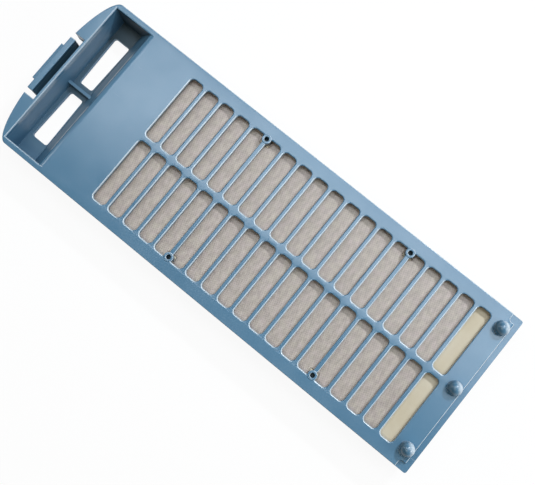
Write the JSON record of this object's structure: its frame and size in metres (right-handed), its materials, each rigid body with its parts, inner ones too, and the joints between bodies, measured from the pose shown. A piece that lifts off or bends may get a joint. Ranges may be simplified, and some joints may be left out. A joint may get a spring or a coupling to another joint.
{
  "type": "washing machine lint filter",
  "caption": "Slotted plastic lint filter cassette with a nylon mesh insert, finger recess, spring latch, domed locating pegs and a hinged rear cover.",
  "frame": {"origin": "middle of the rear face that the filter lies on", "axes": "+X along the length towards the pegs, +Y across, +Z out of the slotted face"},
  "size_m": [0.2294, 0.0794, 0.0257],
  "materials": {
    "blue_plastic": "satin",
    "ivory_plastic": "satin",
    "nylon_mesh": "fine woven"
  },
  "bodies": {
    "cover": {"rear_cover": "blue_plastic"},
    "frame": {"front_frame": "blue_plastic", "mesh_frame": "ivory_plastic", "mesh_screen": "nylon_mesh"},
    "latch": {"latch_tab": "blue_plastic"}
  },
  "joints": [
    {"name": "cover_hinge", "type": "hinge", "parent": "cover", "child": "frame", "pos_m": [0.11155, 0, 0.0035], "axis": [0, 1, 0], "range_deg": [0, 90]},
    {"name": "latch_flex", "type": "hinge", "parent": "frame", "child": "latch", "pos_m": [-0.1082, 0, 0.005], "axis": [0, 1, 0], "range_deg": [0, 8], "stiffness_Nm_per_rad": 0.4}
  ]
}
